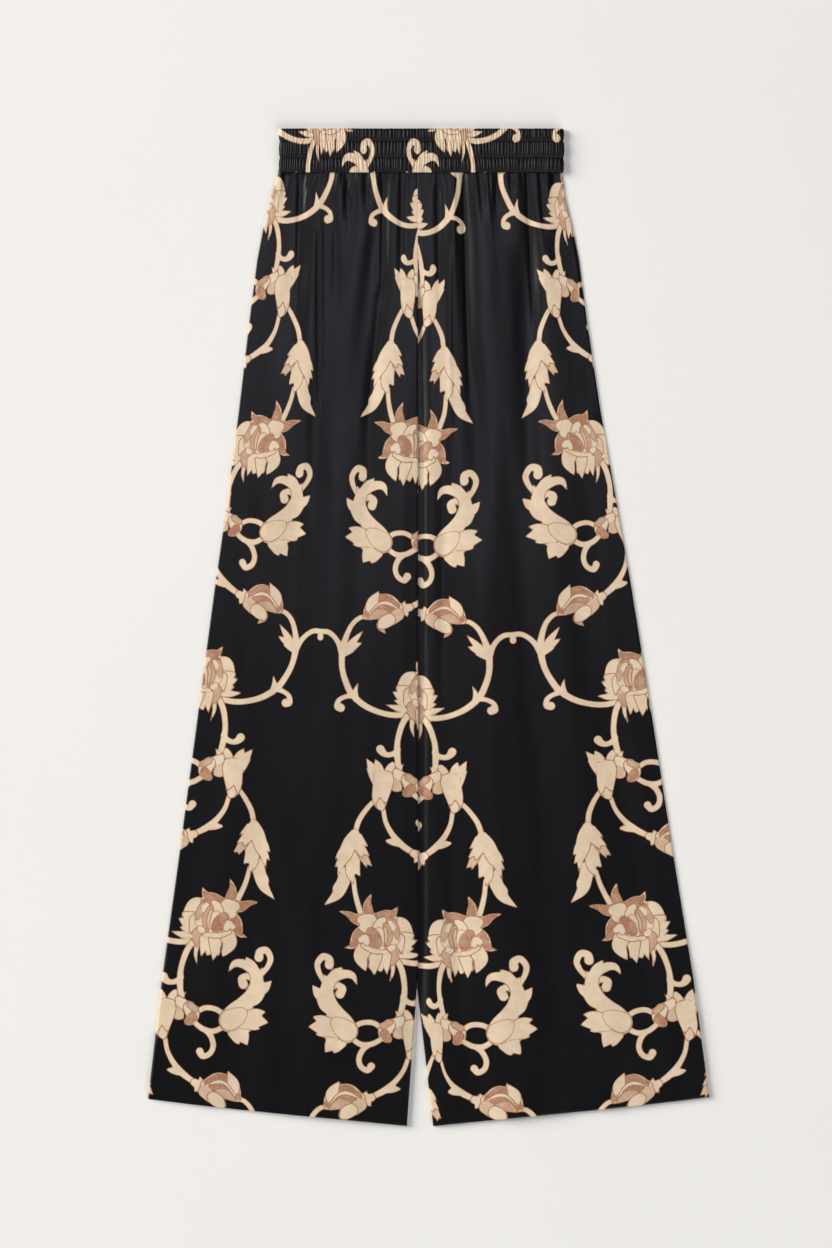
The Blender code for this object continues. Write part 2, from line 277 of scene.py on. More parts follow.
ROSE = [
    ("cream", [[(24, 14, 4), (33, 14.5, 3.2), (44, 12.5, 0.4)]]),
    ("cream", [[(17, 24, 2.4), (17.5, 33, 1.9), (15, 43, 0.3)]]),
    ("cream", [[(16, -16, 7), (23, -14, 8), (28, -4, 7)]]),
    ("cream", [[(20, -1, 7), (29, -4, 4.4), (35, -6.5, 0.4)], [(20, 4, 7), (29, 3, 5), (38, -1, 0.4)],
               [(19, 7, 7), (28, 8.5, 4), (36, 7.5, 0.4)]]),
    ("cream", [[(20, 0, 7), (20, 8, 6.4)]]),
    ("plain", [[(-13, -6, 9), (0, -4, 15.5), (12, -2, 10)]]),
    ("mauve", [[(18, 12, 5), (17.5, 18, 4.6), (15.5, 24, 2.2)]]),
    ("cream", [[(9, 17, 6), (10.5, 26, 3.4), (12, 35, 0.4)], [(4, 18, 6), (4.5, 28, 3.6), (6, 33, 0.4)]]),
    ("cream", [[(-1, 17, 7), (-1.5, 27, 4.6), (-0.5, 37, 0.4)],
               [(-2, 22, 4), (-5, 28, 2), (-5.5, 32, 0.4)]]),
    ("cream", [[(-13, 12, 8), (-16, 19, 7.2), (-12.5, 27, 4), (-9.5, 33, 0.4)]]),
    ("cream", [[(-15, -8, 5.5), (-21.5, -2, 5), (-23.5, 5, 4.6), (-26, 10, 2.6), (-33, 11.8, 0.4)]]),
    ("rust", [[(-17, -7, 3.6), (-21.5, -1, 3.4), (-23.4, 6, 3), (-28, 10, 0.9)]]),
    ("cream", [[(-16, -17, 6), (-24, -17.5, 5.2), (-32, -21.5, 3), (-42, -23.6, 0.4)]]),
    ("rust", [[(-18, -17, 3.8), (-25, -17.7, 3.6), (-31.5, -21.3, 1.8), (-37.5, -22.8, 0.5)]]),
    ("cream", [[(-4, -20, 5), (5, -24, 4.8), (12.5, -25.5, 3.8), (17, -33, 0.4)],
               [(8, -20, 5), (14, -20, 4)]]),
    ("rust", [[(-3, -21, 3.2), (5, -24, 3.2), (12, -25, 2.4), (15, -29, 0.7)],
              [(8, -19, 3), (14, -19, 2.4)]]),
    ("cream", [[(-11, -21, 5.4), (-13, -29, 5), (-13.4, -35, 3.4), (-10.4, -44, 0.4)]]),
    ("rust", [[(-11, -22, 3.8), (-12.8, -29, 3.6), (-12.8, -35, 2), (-11, -39.5, 0.6)]]),
    ("mauve", [[(15, -15, 3.4), (17.5, -8, 3.6), (19.5, -1, 1)]]),
    ("cream", [[(-17, -17, 5.4), (-9, -18, 5.8), (-10, -11, 6.4), (-15, -10, 5)]]),
    ("light", [[(-4, -12, 2.6), (0, -16.5, 3.4), (4, -19, 2.8)], [(1, -15, 3), (3, -12, 2)]]),
    ("light", [[(11, -16, 2.6), (14, -12, 2.4), (11, -9, 2)]]),
    ("mauve", [[(7, -12, 3.4), (10, -3, 4.4), (9, 7, 3)]]),
    ("rust", [[(-8, -6, 4.4), (-4, 0, 7), (0, 5, 4.6)]]),
    ("tan", [[(6, -11, 1.6), (8, -3, 1.8), (7.5, 6, 1.2)]]),
    ("cream", [[(-14, 8, 2.8), (-6, 12, 2.6), (1, 13, 2.8)], [(10, 13, 2.4), (4, 13, 2)]]),
    ("light", [[(-17, 3, 3), (-13, 0, 3.2), (-11, 5, 3.2)]]),
    ("light", [[(13, 9, 3.2), (16, 7, 2.6)]]),
]

LEAF = [
    ("cream", [[(-9, 42, 6.4), (-12, 52, 7), (-17, 64, 5.4), (-30, 76, 0.3)],
               [(-12, 50, 5), (-19, 57, 3), (-21.5, 62.5, 0.3)]]),
    ("cream", [[(-3, 24, 7.4), (-2, 33, 6.6), (5.5, 43.5, 0.3)],
               [(-4, 32, 6.6), (-4.5, 42, 4.6), (-1, 51.5, 0.3)]]),
    ("tan", [[(4, 19, 4.4), (9, 26, 4.2), (16.5, 32.5, 0.3)], [(8, 26, 3.6), (11.5, 35, 0.3)]]),
    ("cream", [[(-4.5, 2, 4.2), (-8, 12, 7.2), (-11.5, 23, 7), (-15, 33, 3.8), (-18, 45.5, 0.3)],
               [(-11, 17, 5.4), (-16.5, 23, 3.6), (-21.8, 29, 0.3)],
               [(-13, 27, 4.4), (-17.5, 32, 2.8), (-21.8, 37.5, 0.3)],
               [(-3, 1, 4), (-0.5, 9, 5.8), (2.5, 16, 4.8), (6.5, 25.5, 0.3)],
               [(1, 5, 4), (5.5, 9.5, 2.8), (11, 13.5, 0.3)],
               [(3, 13, 4), (8, 18.5, 2.8), (13.5, 22.8, 0.3)]]),
]

BUD = [
    ("cream", [[(2, -2, 4.5), (11, -5, 4)], [(3, -2, 5), (6, -11, 0.6)], [(6, -3, 5), (10, 4, 0.6)]]),
    ("mauve", [[(-14, 10, 5), (-18, 16, 4), (-12, 23, 0.5)]]),
    ("cream", [[(-1, -3, 6), (-14, -7, 10), (-27, -1, 9), (-33, 6, 5)]]),
    ("rust", [[(-3, -5, 4), (-15, -9.5, 6), (-27, -5, 4.2), (-33, 5, 3.6)]]),
    ("cream", [[(-26, 5, 5), (-29, -5, 6.6), (-22, -19, 0.4)]]),
    ("light", [[(-3, -1, 4), (-16, -3, 6.4), (-28, 5, 4)]]),
    ("rust", [[(-6, -1, 3), (-17, -0.5, 5), (-27, 6, 3)]]),
    ("mauve", [[(-12, 3, 3), (-21, 4, 5), (-30, 9, 2)]]),
    ("tan", [[(0, 3, 6.4), (-7, 8, 6.4), (-12, 11, 4)]]),
    ("cream", [[(-9, 9, 6.4), (-14, 12, 6.4), (-18, 16, 3)]]),
]

# Vine stems, placed in the whole print
STEMS = [
    # the scroll from the bud to the rose, its sprout, spur and volute
    ("cream", [[(157, 854, 2.0), (165, 854, 2.5), (173, 861, 2.7), (178, 872, 3.0), (181, 885, 3.7),
                (181, 896, 3.5), (179, 908, 3.2), (174, 920, 3.4), (167, 931, 3.5), (154, 941, 3.3),
                (138, 947, 3.0), (122, 949, 3.0), (108, 947, 2.7)],
               [(178, 888, 3.4), (170, 878, 3.5), (161, 867, 0.4)],
               [(177, 888, 3.4), (168, 883, 3.0), (161, 879, 0.4)],
               [(179, 892, 2.9), (173, 889, 2.5), (167, 887, 0.4)],
               [(162, 936, 3.4), (163, 928, 2.5), (161, 920, 0.5)],
               [(166, 933, 2.7), (174, 935, 2.5), (180, 939, 2.7), (181, 945, 3.5), (177, 946, 4.4)],
               [(206.6, 871, 2.8), (199, 871, 2.8), (192, 875, 2.7), (186, 882, 2.9), (182, 891, 3.2)],
               [(206.6, 877, 3.4), (206.6, 876, 3.4)]]),
    # thistle to leaf, leaf to rose
    ("cream", [[(72, 789, 2.2), (64, 799, 2.7), (57, 811, 2.9), (54, 823, 2.9)]]),
    ("cream", [[(56, 870, 2.5), (59, 884, 2.7), (65, 900, 3.0), (73, 914, 3.4)]]),
    # thistle to bud, with its spur
    ("cream", [[(80.5, 799, 2.4), (84, 811, 2.5), (91, 822, 2.9), (100, 831, 3.5), (110, 837.5, 3.0),
                (124, 845, 2.5)],
               [(98, 831, 3.7), (92, 830, 3.4), (86.5, 829.5, 1.4)]]),
    # rose to thistle, with its hook
    ("cream", [[(101, 700, 2.9), (94, 712, 3.2), (90, 728, 3.0), (90, 742, 3.4), (92, 754, 2.9),
                (96, 764, 2.5)],
               [(91, 738, 2.7), (86, 742.5, 2.8), (80, 744, 2.8), (75.5, 742, 3.7), (73, 739, 4.5)]]),
]

# The vine's unit: motif, u, v, turned over
UNIT = [
    (STEMS, 0.0, 0.0, False),
    (LINK, 80.0, 777.0, False),
    (LEAF_SCROLL, 144.0, 777.0, True),
    (LEAF, 57.0, 823.0, False),
    (BUD, 125.0, 845.0, True),
    (THISTLE, 80.0, 777.0, False),
    (ROSE, 86.0, 927.0, False),
]

# ------------------------------------------------------------------ colours and light
INK = (0.0013, 0.0012, 0.0017)
INK_WORN = (0.0038, 0.0037, 0.0044)
CREAM = (0.720, 0.577, 0.412)
CREAM_DEEP = (0.650, 0.500, 0.340)
TAN = (0.510, 0.330, 0.205)
MAUVE = (0.400, 0.215, 0.130)
RUST = (0.290, 0.082, 0.032)
LIGHT = (0.700, 0.585, 0.450)
LINE_BROWN = (0.290, 0.100, 0.032)
# How fully each tint covers the cream
TINT_LOOKS = {"tan": (TAN, 0.75), "mauve": (MAUVE, 0.85), "rust": (RUST, 0.94), "light": (LIGHT, 0.6)}
EDGE_SOFT = 0.25            # in the print's units, as are the next three
TINT_SOFT = 0.5
LINE_HALF = 0.30
LINE_SOFT = 0.35
LINE_STRENGTH = 0.80
RIM_WIDTH = 0.9             # in the print's units: the figure darkens this near its outer edge
RIM_STRENGTH = 0.50
CLOUD_SCALE = 95.0          # blotches of the watercolour, about a centimetre across
GRAIN_SCALE = 420.0         # and its grain, which breaks up the lines
SPECKLE_SCALE = 1000.0      # the weave's fine speckle, about a millimetre across
SPECKLE = 0.30
SILKS = {                   # roughness, sheen
    "leg_silk": (0.39, 0.012),
    "band_silk": (0.50, 0.012),
    "hem_silk": (0.48, 0.01),
}
SILK_SPECULAR = 0.27
GLOSS_SPREAD = 0.03         # the roughness varies by this either way
INKED_ROUGHER = 0.06        # and the printed figure is this much rougher
TWILL_SCALE = 620.0         # ribs every half millimetre
TWILL_TURN = 1.05           # radians
RIB_BUMP = (0.25, 0.00002)  # strength and height of each layer of the bump
YARN_BUMP = (0.3, 0.00004)
CREASING_BUMP = (0.5, 0.0006)
PAPER = (0.80, 0.785, 0.745)
WORLD_COLOUR = (1.0, 0.99, 0.97)
WORLD_STRENGTH = 0.05
FLOOR_SIZE = 60.0
FLOOR_Z = -0.0002
CAMERA_PLACE = (-0.0136, 0.0037, 4.0)
CAMERA_LENS = 108.5         # millimetres, on a sensor 36 wide
LIGHTS = (
    # name, place, aimed at, size, power, colour
    ("key", (-10.8, 3.8, 5.9), (0.0, 0.0, 0.0), (7.5, 7.5), 2420.0, (1.0, 0.985, 0.96)),
    ("fill", (4.6, -8.0, 4.8), (0.0, 0.0, 0.0), (9.5, 9.5), 900.0, (0.97, 0.985, 1.0)),
    ("overhead", (-0.1, 0.75, 3.0), (0.0, 0.2, 0.0), (0.45, 0.55), 13.0, (0.86, 0.83, 1.0)),
)

# Where the print lies on each front: distance below the waist, x of the vine's mirror line on
# the left and on the right leg, and how far the gathers squeeze the print sideways
PRINT_ROWS = np.array((
    # down,  left_x,  right_x, squeeze
    (0.0489, -0.0827, 0.0555, 0.75),
    (0.0755, -0.0848, 0.0571, 0.75),
    (0.1499, -0.0874, 0.0651, 0.75),
    (0.2297, -0.0918, 0.0661, 0.85),
    (0.3094, -0.0971, 0.0733, 0.87),
    (0.4051, -0.1077, 0.0784, 0.90),
    (0.5412, -0.1178, 0.0916, 0.94),
    (0.6709, -0.1296, 0.1060, 1.00),
    (0.7825, -0.1387, 0.1193, 1.00),
    (1.0239, -0.1593, 0.1469, 1.00),
))
PRINT_TOP = {"left": 124.7, "right": 122.8}     # v at the top of the waistband
PRINT_TILT = {"left": 0.080, "right": 0.087}    # the legs splay, and the print with them
TILT_DOWN = (0.310, 0.437)                      # the splay comes in between these
# How far the gathered cloth carries the print off that place, in metres: distance below the
# waist, then sideways and down for the vine by the side seam and for the one by the centre seam
PRINT_SLIPS = {
    "left": np.array((
        (0.049, 0.000, 0.003, 0.003, 0.008), (0.097, 0.000, 0.003, 0.004, 0.009),
        (0.171, -0.003, 0.000, 0.003, 0.003), (0.228, 0.003, 0.006, 0.003, 0.006),
        (0.304, 0.003, 0.003, -0.002, 0.005), (0.395, 0.003, 0.003, -0.004, 0.004),
        (0.437, 0.000, 0.001, 0.000, 0.001), (0.501, 0.004, 0.003, 0.003, 0.001),
        (0.596, 0.003, 0.000, 0.000, 0.000), (0.713, 0.006, 0.000, 0.000, 0.000),
        (0.804, 0.010, -0.003, 0.000, 0.000), (1.000, 0.008, 0.000, 0.000, 0.000),
    )),
    "right": np.array((
        (0.049, 0.002, 0.008, -0.003, 0.014), (0.097, 0.002, 0.008, -0.003, 0.014),
        (0.171, 0.003, 0.001, 0.000, 0.015), (0.228, 0.003, 0.003, -0.002, 0.010),
        (0.304, 0.001, 0.000, 0.000, 0.011), (0.352, 0.007, 0.000, -0.003, 0.008),
        (0.395, 0.004, 0.004, -0.003, 0.006), (0.437, 0.006, 0.002, -0.005, 0.002),
        (0.501, 0.007, 0.003, -0.007, 0.004), (0.596, 0.002, 0.002, -0.004, 0.001),
        (0.713, -0.003, 0.000, -0.002, 0.000), (1.000, 0.000, 0.000, 0.000, 0.000),
    )),
}
VINES = (0.18, 0.82)        # where those two vines are, as shares of a leg's width

# Close by the centre seam the cloth is taken in, and the print with it: distance below the
# waist, and how far at the seam
CENTRE_TUCKS = {
    "left": np.array(((0.058, 0.000), (0.066, 0.007), (0.100, 0.006), (0.118, 0.004), (0.240, 0.000))),
    "right": np.array(((0.070, 0.001), (0.078, 0.008), (0.100, 0.008), (0.118, 0.002), (0.240, 0.000))),
}
TUCK_WIDTH = 0.028          # it is taken in within this distance of the seam
INSEAM_SLIP = 0.011         # by the right inseam the print stands this far out
SLIP_DOWN = (0.850, 0.940)  # which comes in between these
BAND_PRINT_X = -0.0407      # mirror line on the waistband
BAND_PRINT_TOP = 936.0      # v at its top edge
BAND_SQUEEZE = 0.705        # how far its gathers squeeze the print


def smooth_step(value):
    """Ease from 0 to 1 as value goes from 0 to 1."""
    value = np.clip(value, 0.0, 1.0)
    return value * value * (3.0 - 2.0 * value)


def blend(start, end, share):
    """Value at a share of the way from start to end."""
    return start + (end - start) * share


# ------------------------------------------------------------------ drawing the print
def smooth_line(points, steps=7):
    """Catmull-Rom line through (x, y, half_width) points."""
    points = np.array(points, dtype=float)
    if len(points) == 2:
        return points
    padded = np.vstack([2 * points[0] - points[1], points, 2 * points[-1] - points[-2]])
    line = []
    for index in range(len(points) - 1):
        before, start, end, after = padded[index:index + 4]
        for step in range(steps):
            t = step / steps
            line.append(0.5 * (2 * start + (end - before) * t
                               + (2 * before - 5 * start + 4 * end - after) * t * t
                               + (3 * start - before - 3 * end + after) * t ** 3))
    line.append(points[-1])
    return np.array(line)


def stroke_distance(line, u, v):
    """The points within a stroke's reach, and their signed distances to its edge."""
    low = line[:, :2].min(axis=0) - line[:, 2].max() - REACH
    high = line[:, :2].max(axis=0) + line[:, 2].max() + REACH
    near = np.flatnonzero((u > low[0]) & (u < high[0]) & (v > low[1]) & (v < high[1]))
    start = line[:-1]
    run = line[1:] - start
    length = np.maximum(np.hypot(run[:, 0], run[:, 1]), 1e-6)
    taper = np.clip(run[:, 2] / length, -0.95, 0.95)
    from_x = u[near][:, None] - start[:, 0]
    from_y = v[near][:, None] - start[:, 1]
    along = (from_x * run[:, 0] + from_y * run[:, 1]) / length
    aside = (from_x * run[:, 1] - from_y * run[:, 0]) / length
    share = np.clip((along + np.abs(aside) * taper / np.sqrt(1 - taper ** 2)) / length, 0, 1)
    gap = np.hypot(along - share * length, aside)
    return near, (gap - start[:, 2] - share * run[:, 2]).min(axis=1)


def repeats():
    """Each place where the unit falls in one repeat: (sign of u, shift of u, shift of v)."""
    places = []
    for turn in (-2, -1, 0, 1):
        for sign, shift in ((1, 0.0), (-1, REPEAT_U)):
            drop = turn * REPEAT_V + (REPEAT_V / 2 if sign < 0 else 0.0)
            places.append((sign, shift, drop))
            places.append((-sign, -shift, drop))
            places.append((-sign, 2 * REPEAT_U - shift, drop))
    return places


def shape_distance(strokes, place_u, place_v, turned, u, v):
    """Signed distance from the points to the union of a shape's strokes, in every repeat."""
    distance = np.full(len(u), FAR)
    for points in strokes:
        base = smooth_line(points)
        base[:, 0] = base[:, 0] * (-1 if turned else 1) + place_u
        base[:, 1] += place_v
        for sign, shift, drop in repeats():
            line = base * (sign, 1, 1) + (shift, drop, 0)
            outside_u = line[:, 0].max() < -MARGIN or line[:, 0].min() > REPEAT_U + MARGIN
            outside_v = line[:, 1].max() < -MARGIN or line[:, 1].min() > REPEAT_V + MARGIN
            if outside_u or outside_v:
                continue
            near, gap = stroke_distance(line, u, v)
            if len(near):
                distance[near] = np.minimum(distance[near], gap)
    return distance


def print_fields(u, v):
    """What draws the print at points of the cloth: signed distances, negative inside.

    Returns the whole figure's distance, then each line set's, then each tint's.
    """
    u = np.abs((u + REPEAT_U) % (2 * REPEAT_U) - REPEAT_U)
    v = v % REPEAT_V
    tints = {name: np.full(len(u), FAR) for name in TINTS}
    lines = [np.full(len(u), FAR) for _ in range(LINE_SETS)]
    figure = np.full(len(u), FAR)
    shapes = [(colour, strokes, place_u, place_v, turned)
              for motif, place_u, place_v, turned in UNIT for colour, strokes in motif]
    for index in range(len(shapes) - 1, -1, -1):
        colour, strokes, place_u, place_v, turned = shapes[index]
        distance = shape_distance(strokes, place_u, place_v, turned, u, v)
        visible = np.maximum(distance, -figure)
        if colour in tints:
            tints[colour] = np.minimum(tints[colour], visible)
        if colour != "plain":
            lines[index % LINE_SETS] = np.minimum(lines[index % LINE_SETS], visible)
        figure = np.minimum(figure, distance)
    return [figure, *lines, *(tints[name] for name in TINTS)]


def leg_print_place(leg, x, down):
    """(u, v) of the print at points of a leg."""
    slips = [np.interp(down, PRINT_SLIPS[leg][:, 0], PRINT_SLIPS[leg][:, index]) for index in range(1, 5)]
    across = (x - side_x(leg, down)) / (inner_x(leg, down) - side_x(leg, down))
    share = smooth_step((across - VINES[0]) / (VINES[1] - VINES[0]))
    edge_share = 1.0 - smooth_step(np.abs(inner_x(leg, down) - x) / TUCK_WIDTH)
    tuck = edge_share * np.interp(down, CENTRE_TUCKS[leg][:, 0], CENTRE_TUCKS[leg][:, 1])
    if leg == "right":
        slipped = smooth_step((down - SLIP_DOWN[0]) / (SLIP_DOWN[1] - SLIP_DOWN[0]))
        tuck = -tuck - INSEAM_SLIP * edge_share * slipped
    x = x - blend(slips[0], slips[2], share) + tuck
    down = down - blend(slips[1], slips[3], share)
    column = 1 if leg == "left" else 2
    axis = np.interp(down, PRINT_ROWS[:, 0], PRINT_ROWS[:, column])
    squeeze = np.interp(down, PRINT_ROWS[:, 0], PRINT_ROWS[:, 3])
    u = (x - axis) / PRINT_SCALE / squeeze
    inwards = u if leg == "left" else -u
    tilt = PRINT_TILT[leg] * smooth_step((down - TILT_DOWN[0]) / (TILT_DOWN[1] - TILT_DOWN[0]))
    return u, PRINT_TOP[leg] + down / PRINT_SCALE - tilt * inwards


def band_print_place(x, down):
    """(u, v) of the print at points of the waistband."""
    return (x - BAND_PRINT_X) / PRINT_SCALE / BAND_SQUEEZE, BAND_PRINT_TOP + down / PRINT_SCALE


# ------------------------------------------------------------------ form of the legs
def side_x(leg, down):
    """X of a leg's side seam at a distance below the waist."""
    column = 1 if leg == "left" else 2
    downs, places = SIDE_ROWS[:, 0], SIDE_ROWS[:, column]
    slope = (places[-1] - places[-2]) / (downs[-1] - downs[-2])
    return np.interp(down, downs, places) + np.maximum(down - downs[-1], 0.0) * slope


def inner_x(leg, down):
    """X of a leg's inner edge: the centre seam, then the inseam."""
    seam = CENTRE_X + (SEAM_GAP / 2 if leg == "right" else -SEAM_GAP / 2)
    parted = np.clip((down - SPLIT_DOWN) / (LENGTH - SPLIT_DOWN), 0.0, None)
    return blend(seam, HEM_CORNERS[leg]["inner_x"], parted)


def hem_down(leg, across):
    """Distance of the hem below the waist, from the side seam (0) to the inseam (1)."""
    straight = blend(HEM_CORNERS[leg]["outer_down"], LENGTH, across)
    return straight + HEM_SAG * 4.0 * across * (1.0 - across) * (1.0 - across)


def cad_fold(fold, across, down, width):
    """One of the CAD's folds: a soft ridge or trough that widens and fades as it runs down."""
    across_top, across_end, width_top, width_end, height, start, end = fold
    share = np.clip((down - BAND_HEIGHT - start) / (end - start), 0.0, 1.0)
    offset = (across - blend(across_top, across_end, share)) * width
    offset = offset / blend(width_top, width_end, share)
    rise = 0.45 + 0.55 * smooth_step(share / 0.25)
    fade = 1.0 - smooth_step((share - 0.35) / 0.65)
    return height * rise * fade * np.exp(-offset * offset)


def crease(row, x, down):
    """A listed crease, with its own softness on each side."""
    x_start, x_end, start, end, left, right, height, rise, fade = np.array(row) * MILLIMETRE
    centre = blend(x_start, x_end, np.clip((down - start) / (end - start), 0.0, 1.0))
    offset = x - centre
    offset = offset / np.where(offset < 0.0, left, right)
    strength = smooth_step((down - start) / rise) * smooth_step((end - down) / fade)
    return height * strength * np.exp(-offset * offset)


def wave(row, across, down, width):
    """A broad soft wave that runs down to the hem."""
    place, drift, half, height = row
    share = np.clip((down - CROTCH_DOWN) / (LENGTH - CROTCH_DOWN), 0.0, 1.0)
    offset = (across - place - drift * share) * width / half
    return height * smooth_step((down - WAVE_START) / WAVE_EASE) * np.exp(-offset * offset)


def pleats(along, pitch, seed, sharpness=0.7):
    """Rounded pleats from 0 to 1 with narrow creases between, uneven in width and height."""
    draw = np.random.default_rng(seed)
    count = int((along.max() - along.min()) / pitch * 1.6) + 4
    edges = along.min() - pitch + np.cumsum(pitch * draw.uniform(0.55, 1.45, count))
    phase = np.interp(along, edges, np.arange(count))
    heights = draw.uniform(0.5, 1.0, count)
    return heights[phase.astype(int)] * np.abs(np.sin(math.pi * phase)) ** sharpness


def front_form(leg, across, down, x):
    """Height of the under side of the front above z = 0: the CAD's form with its finer creases."""
    width = np.abs(inner_x(leg, down) - side_x(leg, down))
    from_side = across * width
    from_inner = (1.0 - across) * width
    loft = blend(LOFT_WAIST, LOFT_LEG, smooth_step((down - BAND_HEIGHT) / LOFT_FADE))
    side_roll = smooth_step(from_side / SIDE_DOME)
    inner_roll = smooth_step(from_inner / EDGE_ROLL)
    below_crotch = smooth_step((down - CROTCH_DOWN + CROTCH_EASE) / CROTCH_EASE)
    inner_roll = blend(blend(SEAM_HOLD, 1.0, inner_roll), inner_roll, below_crotch)
    folds = FOLD_SHARE * sum(cad_fold(fold, across, down, width) for fold in FOLDS[leg])
    folds = folds + sum(wave(row, across, down, width) for row in WAVES[leg])
    gathers = pleats(across, GATHER_PITCH, GATHER_SEEDS[f"front_{leg}"]) - 0.6
    fade_length = GATHER_FADE * (0.6 + 0.9 * pleats(across, GATHER_PITCH * 3, FADE_SEED, 1.0))
    folds = folds + GATHER_DEPTH * gathers * np.exp(-(down - BAND_HEIGHT) / fade_length)
    above_back = np.maximum((loft + folds) * side_roll * inner_roll, 0.0)
    fine = sum(crease(row, x, down) for row in CREASES[leg])
    hem_top = hem_down(leg, across) - HEM_DEPTH
    over_hems = 2.0 * LAYER * smooth_step((down - hem_top + HEM_EASE) / HEM_EASE)
    puckers = np.cos(2.0 * math.pi * x / PUCKER_PITCH) * np.exp(-((down - hem_top) / PUCKER_LENGTH) ** 2)
    return LAYER + above_back + fine + over_hems - PUCKER_DEPTH * (1.0 + puckers)


def edge_shares(width, turn_start, turn_end, count):
    """Shares of the width for a row of points that crowd into a turn at each end."""
    steps = np.arange(EDGE_COLUMNS) / EDGE_COLUMNS
    crowd = 1.0 - np.cos(steps * math.pi / 2)
    start = turn_start * crowd / width
    end = 1.0 - turn_end * crowd[::-1] / width
    middle = np.linspace(turn_start / width, 1.0 - turn_end / width, count + 1)
    return np.concatenate([start, middle, end])


def turn_height(distance, turn):
    """How far round the turn of a folded edge a point is: 0 at the edge, 1 on the flat."""
    inwards = np.clip(distance / turn, 0.0, 1.0)
    return np.sqrt(1.0 - (1.0 - inwards) ** 2)


def leg_grid(leg, columns, rows, start_down, side_turn, inner_turn, hem_turn):
    """Shares across, distances down and x of a leg's sheet, as arrays of rows by columns."""
    widths = np.abs(inner_x(leg, SIDE_ROWS[:, 0]) - side_x(leg, SIDE_ROWS[:, 0]))
    # rows crowd only into the turn at the hem
    body = edge_shares(1.0, 1e-4, hem_turn / LENGTH, rows)[EDGE_COLUMNS:]
    across_rows, down_rows = [], []
    for share in body:
        middle_down = blend(start_down, LENGTH, share)
        width = np.interp(middle_down, SIDE_ROWS[:, 0], widths)
        across = edge_shares(width, side_turn, inner_turn, columns)
        across_rows.append(across)
        down_rows.append(blend(start_down, hem_down(leg, across), share))
    across, down = np.array(across_rows), np.array(down_rows)
    x = blend(side_x(leg, down), inner_x(leg, down), across)
    return across, down, x


# ------------------------------------------------------------------ meshes
def grid_mesh(name, x, y, z):
    """A sheet from arrays of rows by columns, with a map of its flat cut."""
    rows, columns = x.shape
    index = np.arange(rows * columns).reshape(rows, columns)
    faces = np.stack([index[:-1, :-1], index[1:, :-1], index[1:, 1:], index[:-1, 1:]], axis=-1)
    mesh = bpy.data.meshes.new(name)
    points = np.stack([x, y, z], axis=-1).reshape(-1, 3)
    mesh.from_pydata(points, [], faces.reshape(-1, 4).tolist())
    across = np.broadcast_to(np.linspace(0.01, 0.99, columns), x.shape).ravel()
    down = np.broadcast_to(np.linspace(0.99, 0.01, rows)[:, None], x.shape).ravel()
    corners = np.empty(len(mesh.loops), dtype=np.int32)
    mesh.loops.foreach_get("vertex_index", corners)
    flat_map = mesh.uv_layers.new(name="OFBake")
    flat_map.data.foreach_set("uv", np.stack([across, down], axis=-1)[corners].ravel())
    mesh.shade_smooth()
    piece = bpy.data.objects.new(name, mesh)
    bpy.context.scene.collection.objects.link(piece)
    return piece


def face_up(piece):
    """Turn a sheet's faces over if they look down."""
    normals = np.empty(len(piece.data.polygons) * 3)
    piece.data.polygons.foreach_get("normal", normals)
    if normals[2::3].sum() < 0.0:
        piece.data.flip_normals()


def keep_print(piece, u, v):
    """Store the print's distances on a sheet's points, three to an attribute."""
    fields = print_fields(u.ravel(), v.ravel())
    fields.append(np.zeros(u.size))
    for index, name in enumerate(("print_lines", "print_tints", "print_more")):
        values = np.stack(fields[index * 3:index * 3 + 3], axis=-1)
        attribute = piece.data.attributes.new(name, "FLOAT_VECTOR", "POINT")
        attribute.data.foreach_set("vector", values.astype(np.float32).ravel())


# ------------------------------------------------------------------ the cut pieces
def front_shift(leg, from_side, from_inner, down):
    """How far a front's points move sideways, at its lap and at its pocket mouth."""
    if leg == "left":
        seamed = smooth_step((SPLIT_DOWN - down) / LAP_FADE)
        return CENTRE_LAP * seamed * (1.0 - smooth_step(from_inner / SEAM_EASE))
    opening = smooth_step((down - MOUTH[0]) / SEAM_EASE) * smooth_step((MOUTH[1] - down) / SEAM_EASE)
    return -MOUTH_INSET * opening * (1.0 - smooth_step(from_side / SEAM_EASE))


def make_front(leg):
    """A front panel: dense enough to carry the print, turned under at its edges."""
    across, down, x = leg_grid(leg, FRONT_COLUMNS, FRONT_ROWS, BAND_HEIGHT - 0.004,
                               SIDE_TURN, SEAM_TURN, HEM_TURN)
    width = np.abs(inner_x(leg, down) - side_x(leg, down))
    top = np.maximum(front_form(leg, across, down, x) + WALL, FRONT_LOWEST)
    # the side seam and inseam turn down to the back, the centre seam only to a shallow groove
    side = turn_height(across * width, SIDE_TURN)
    inner = turn_height((1.0 - across) * width, SEAM_TURN)
    open_inseam = smooth_step((down - SPLIT_DOWN + INSEAM_EASE) / INSEAM_EASE)
    groove = np.maximum(top - CENTRE_DROP[leg], SIDE_MEET)
    inner_low = blend(groove, SIDE_MEET, open_inseam)
    z = SIDE_MEET + (top - SIDE_MEET) * side
    z = inner_low + (z - inner_low) * inner
    hem_low = LAYER * 2
    hem = turn_height(hem_down(leg, across) - down, HEM_TURN)
    z = np.minimum(z, hem_low + (z - hem_low) * hem)
    shift = front_shift(leg, across * width, (1.0 - across) * width, down)
    piece = grid_mesh(f"silk_front_{leg}", x + shift, TOP_Y - down, z)
    face_up(piece)
    keep_print(piece, *leg_print_place(leg, x, down))
    return piece


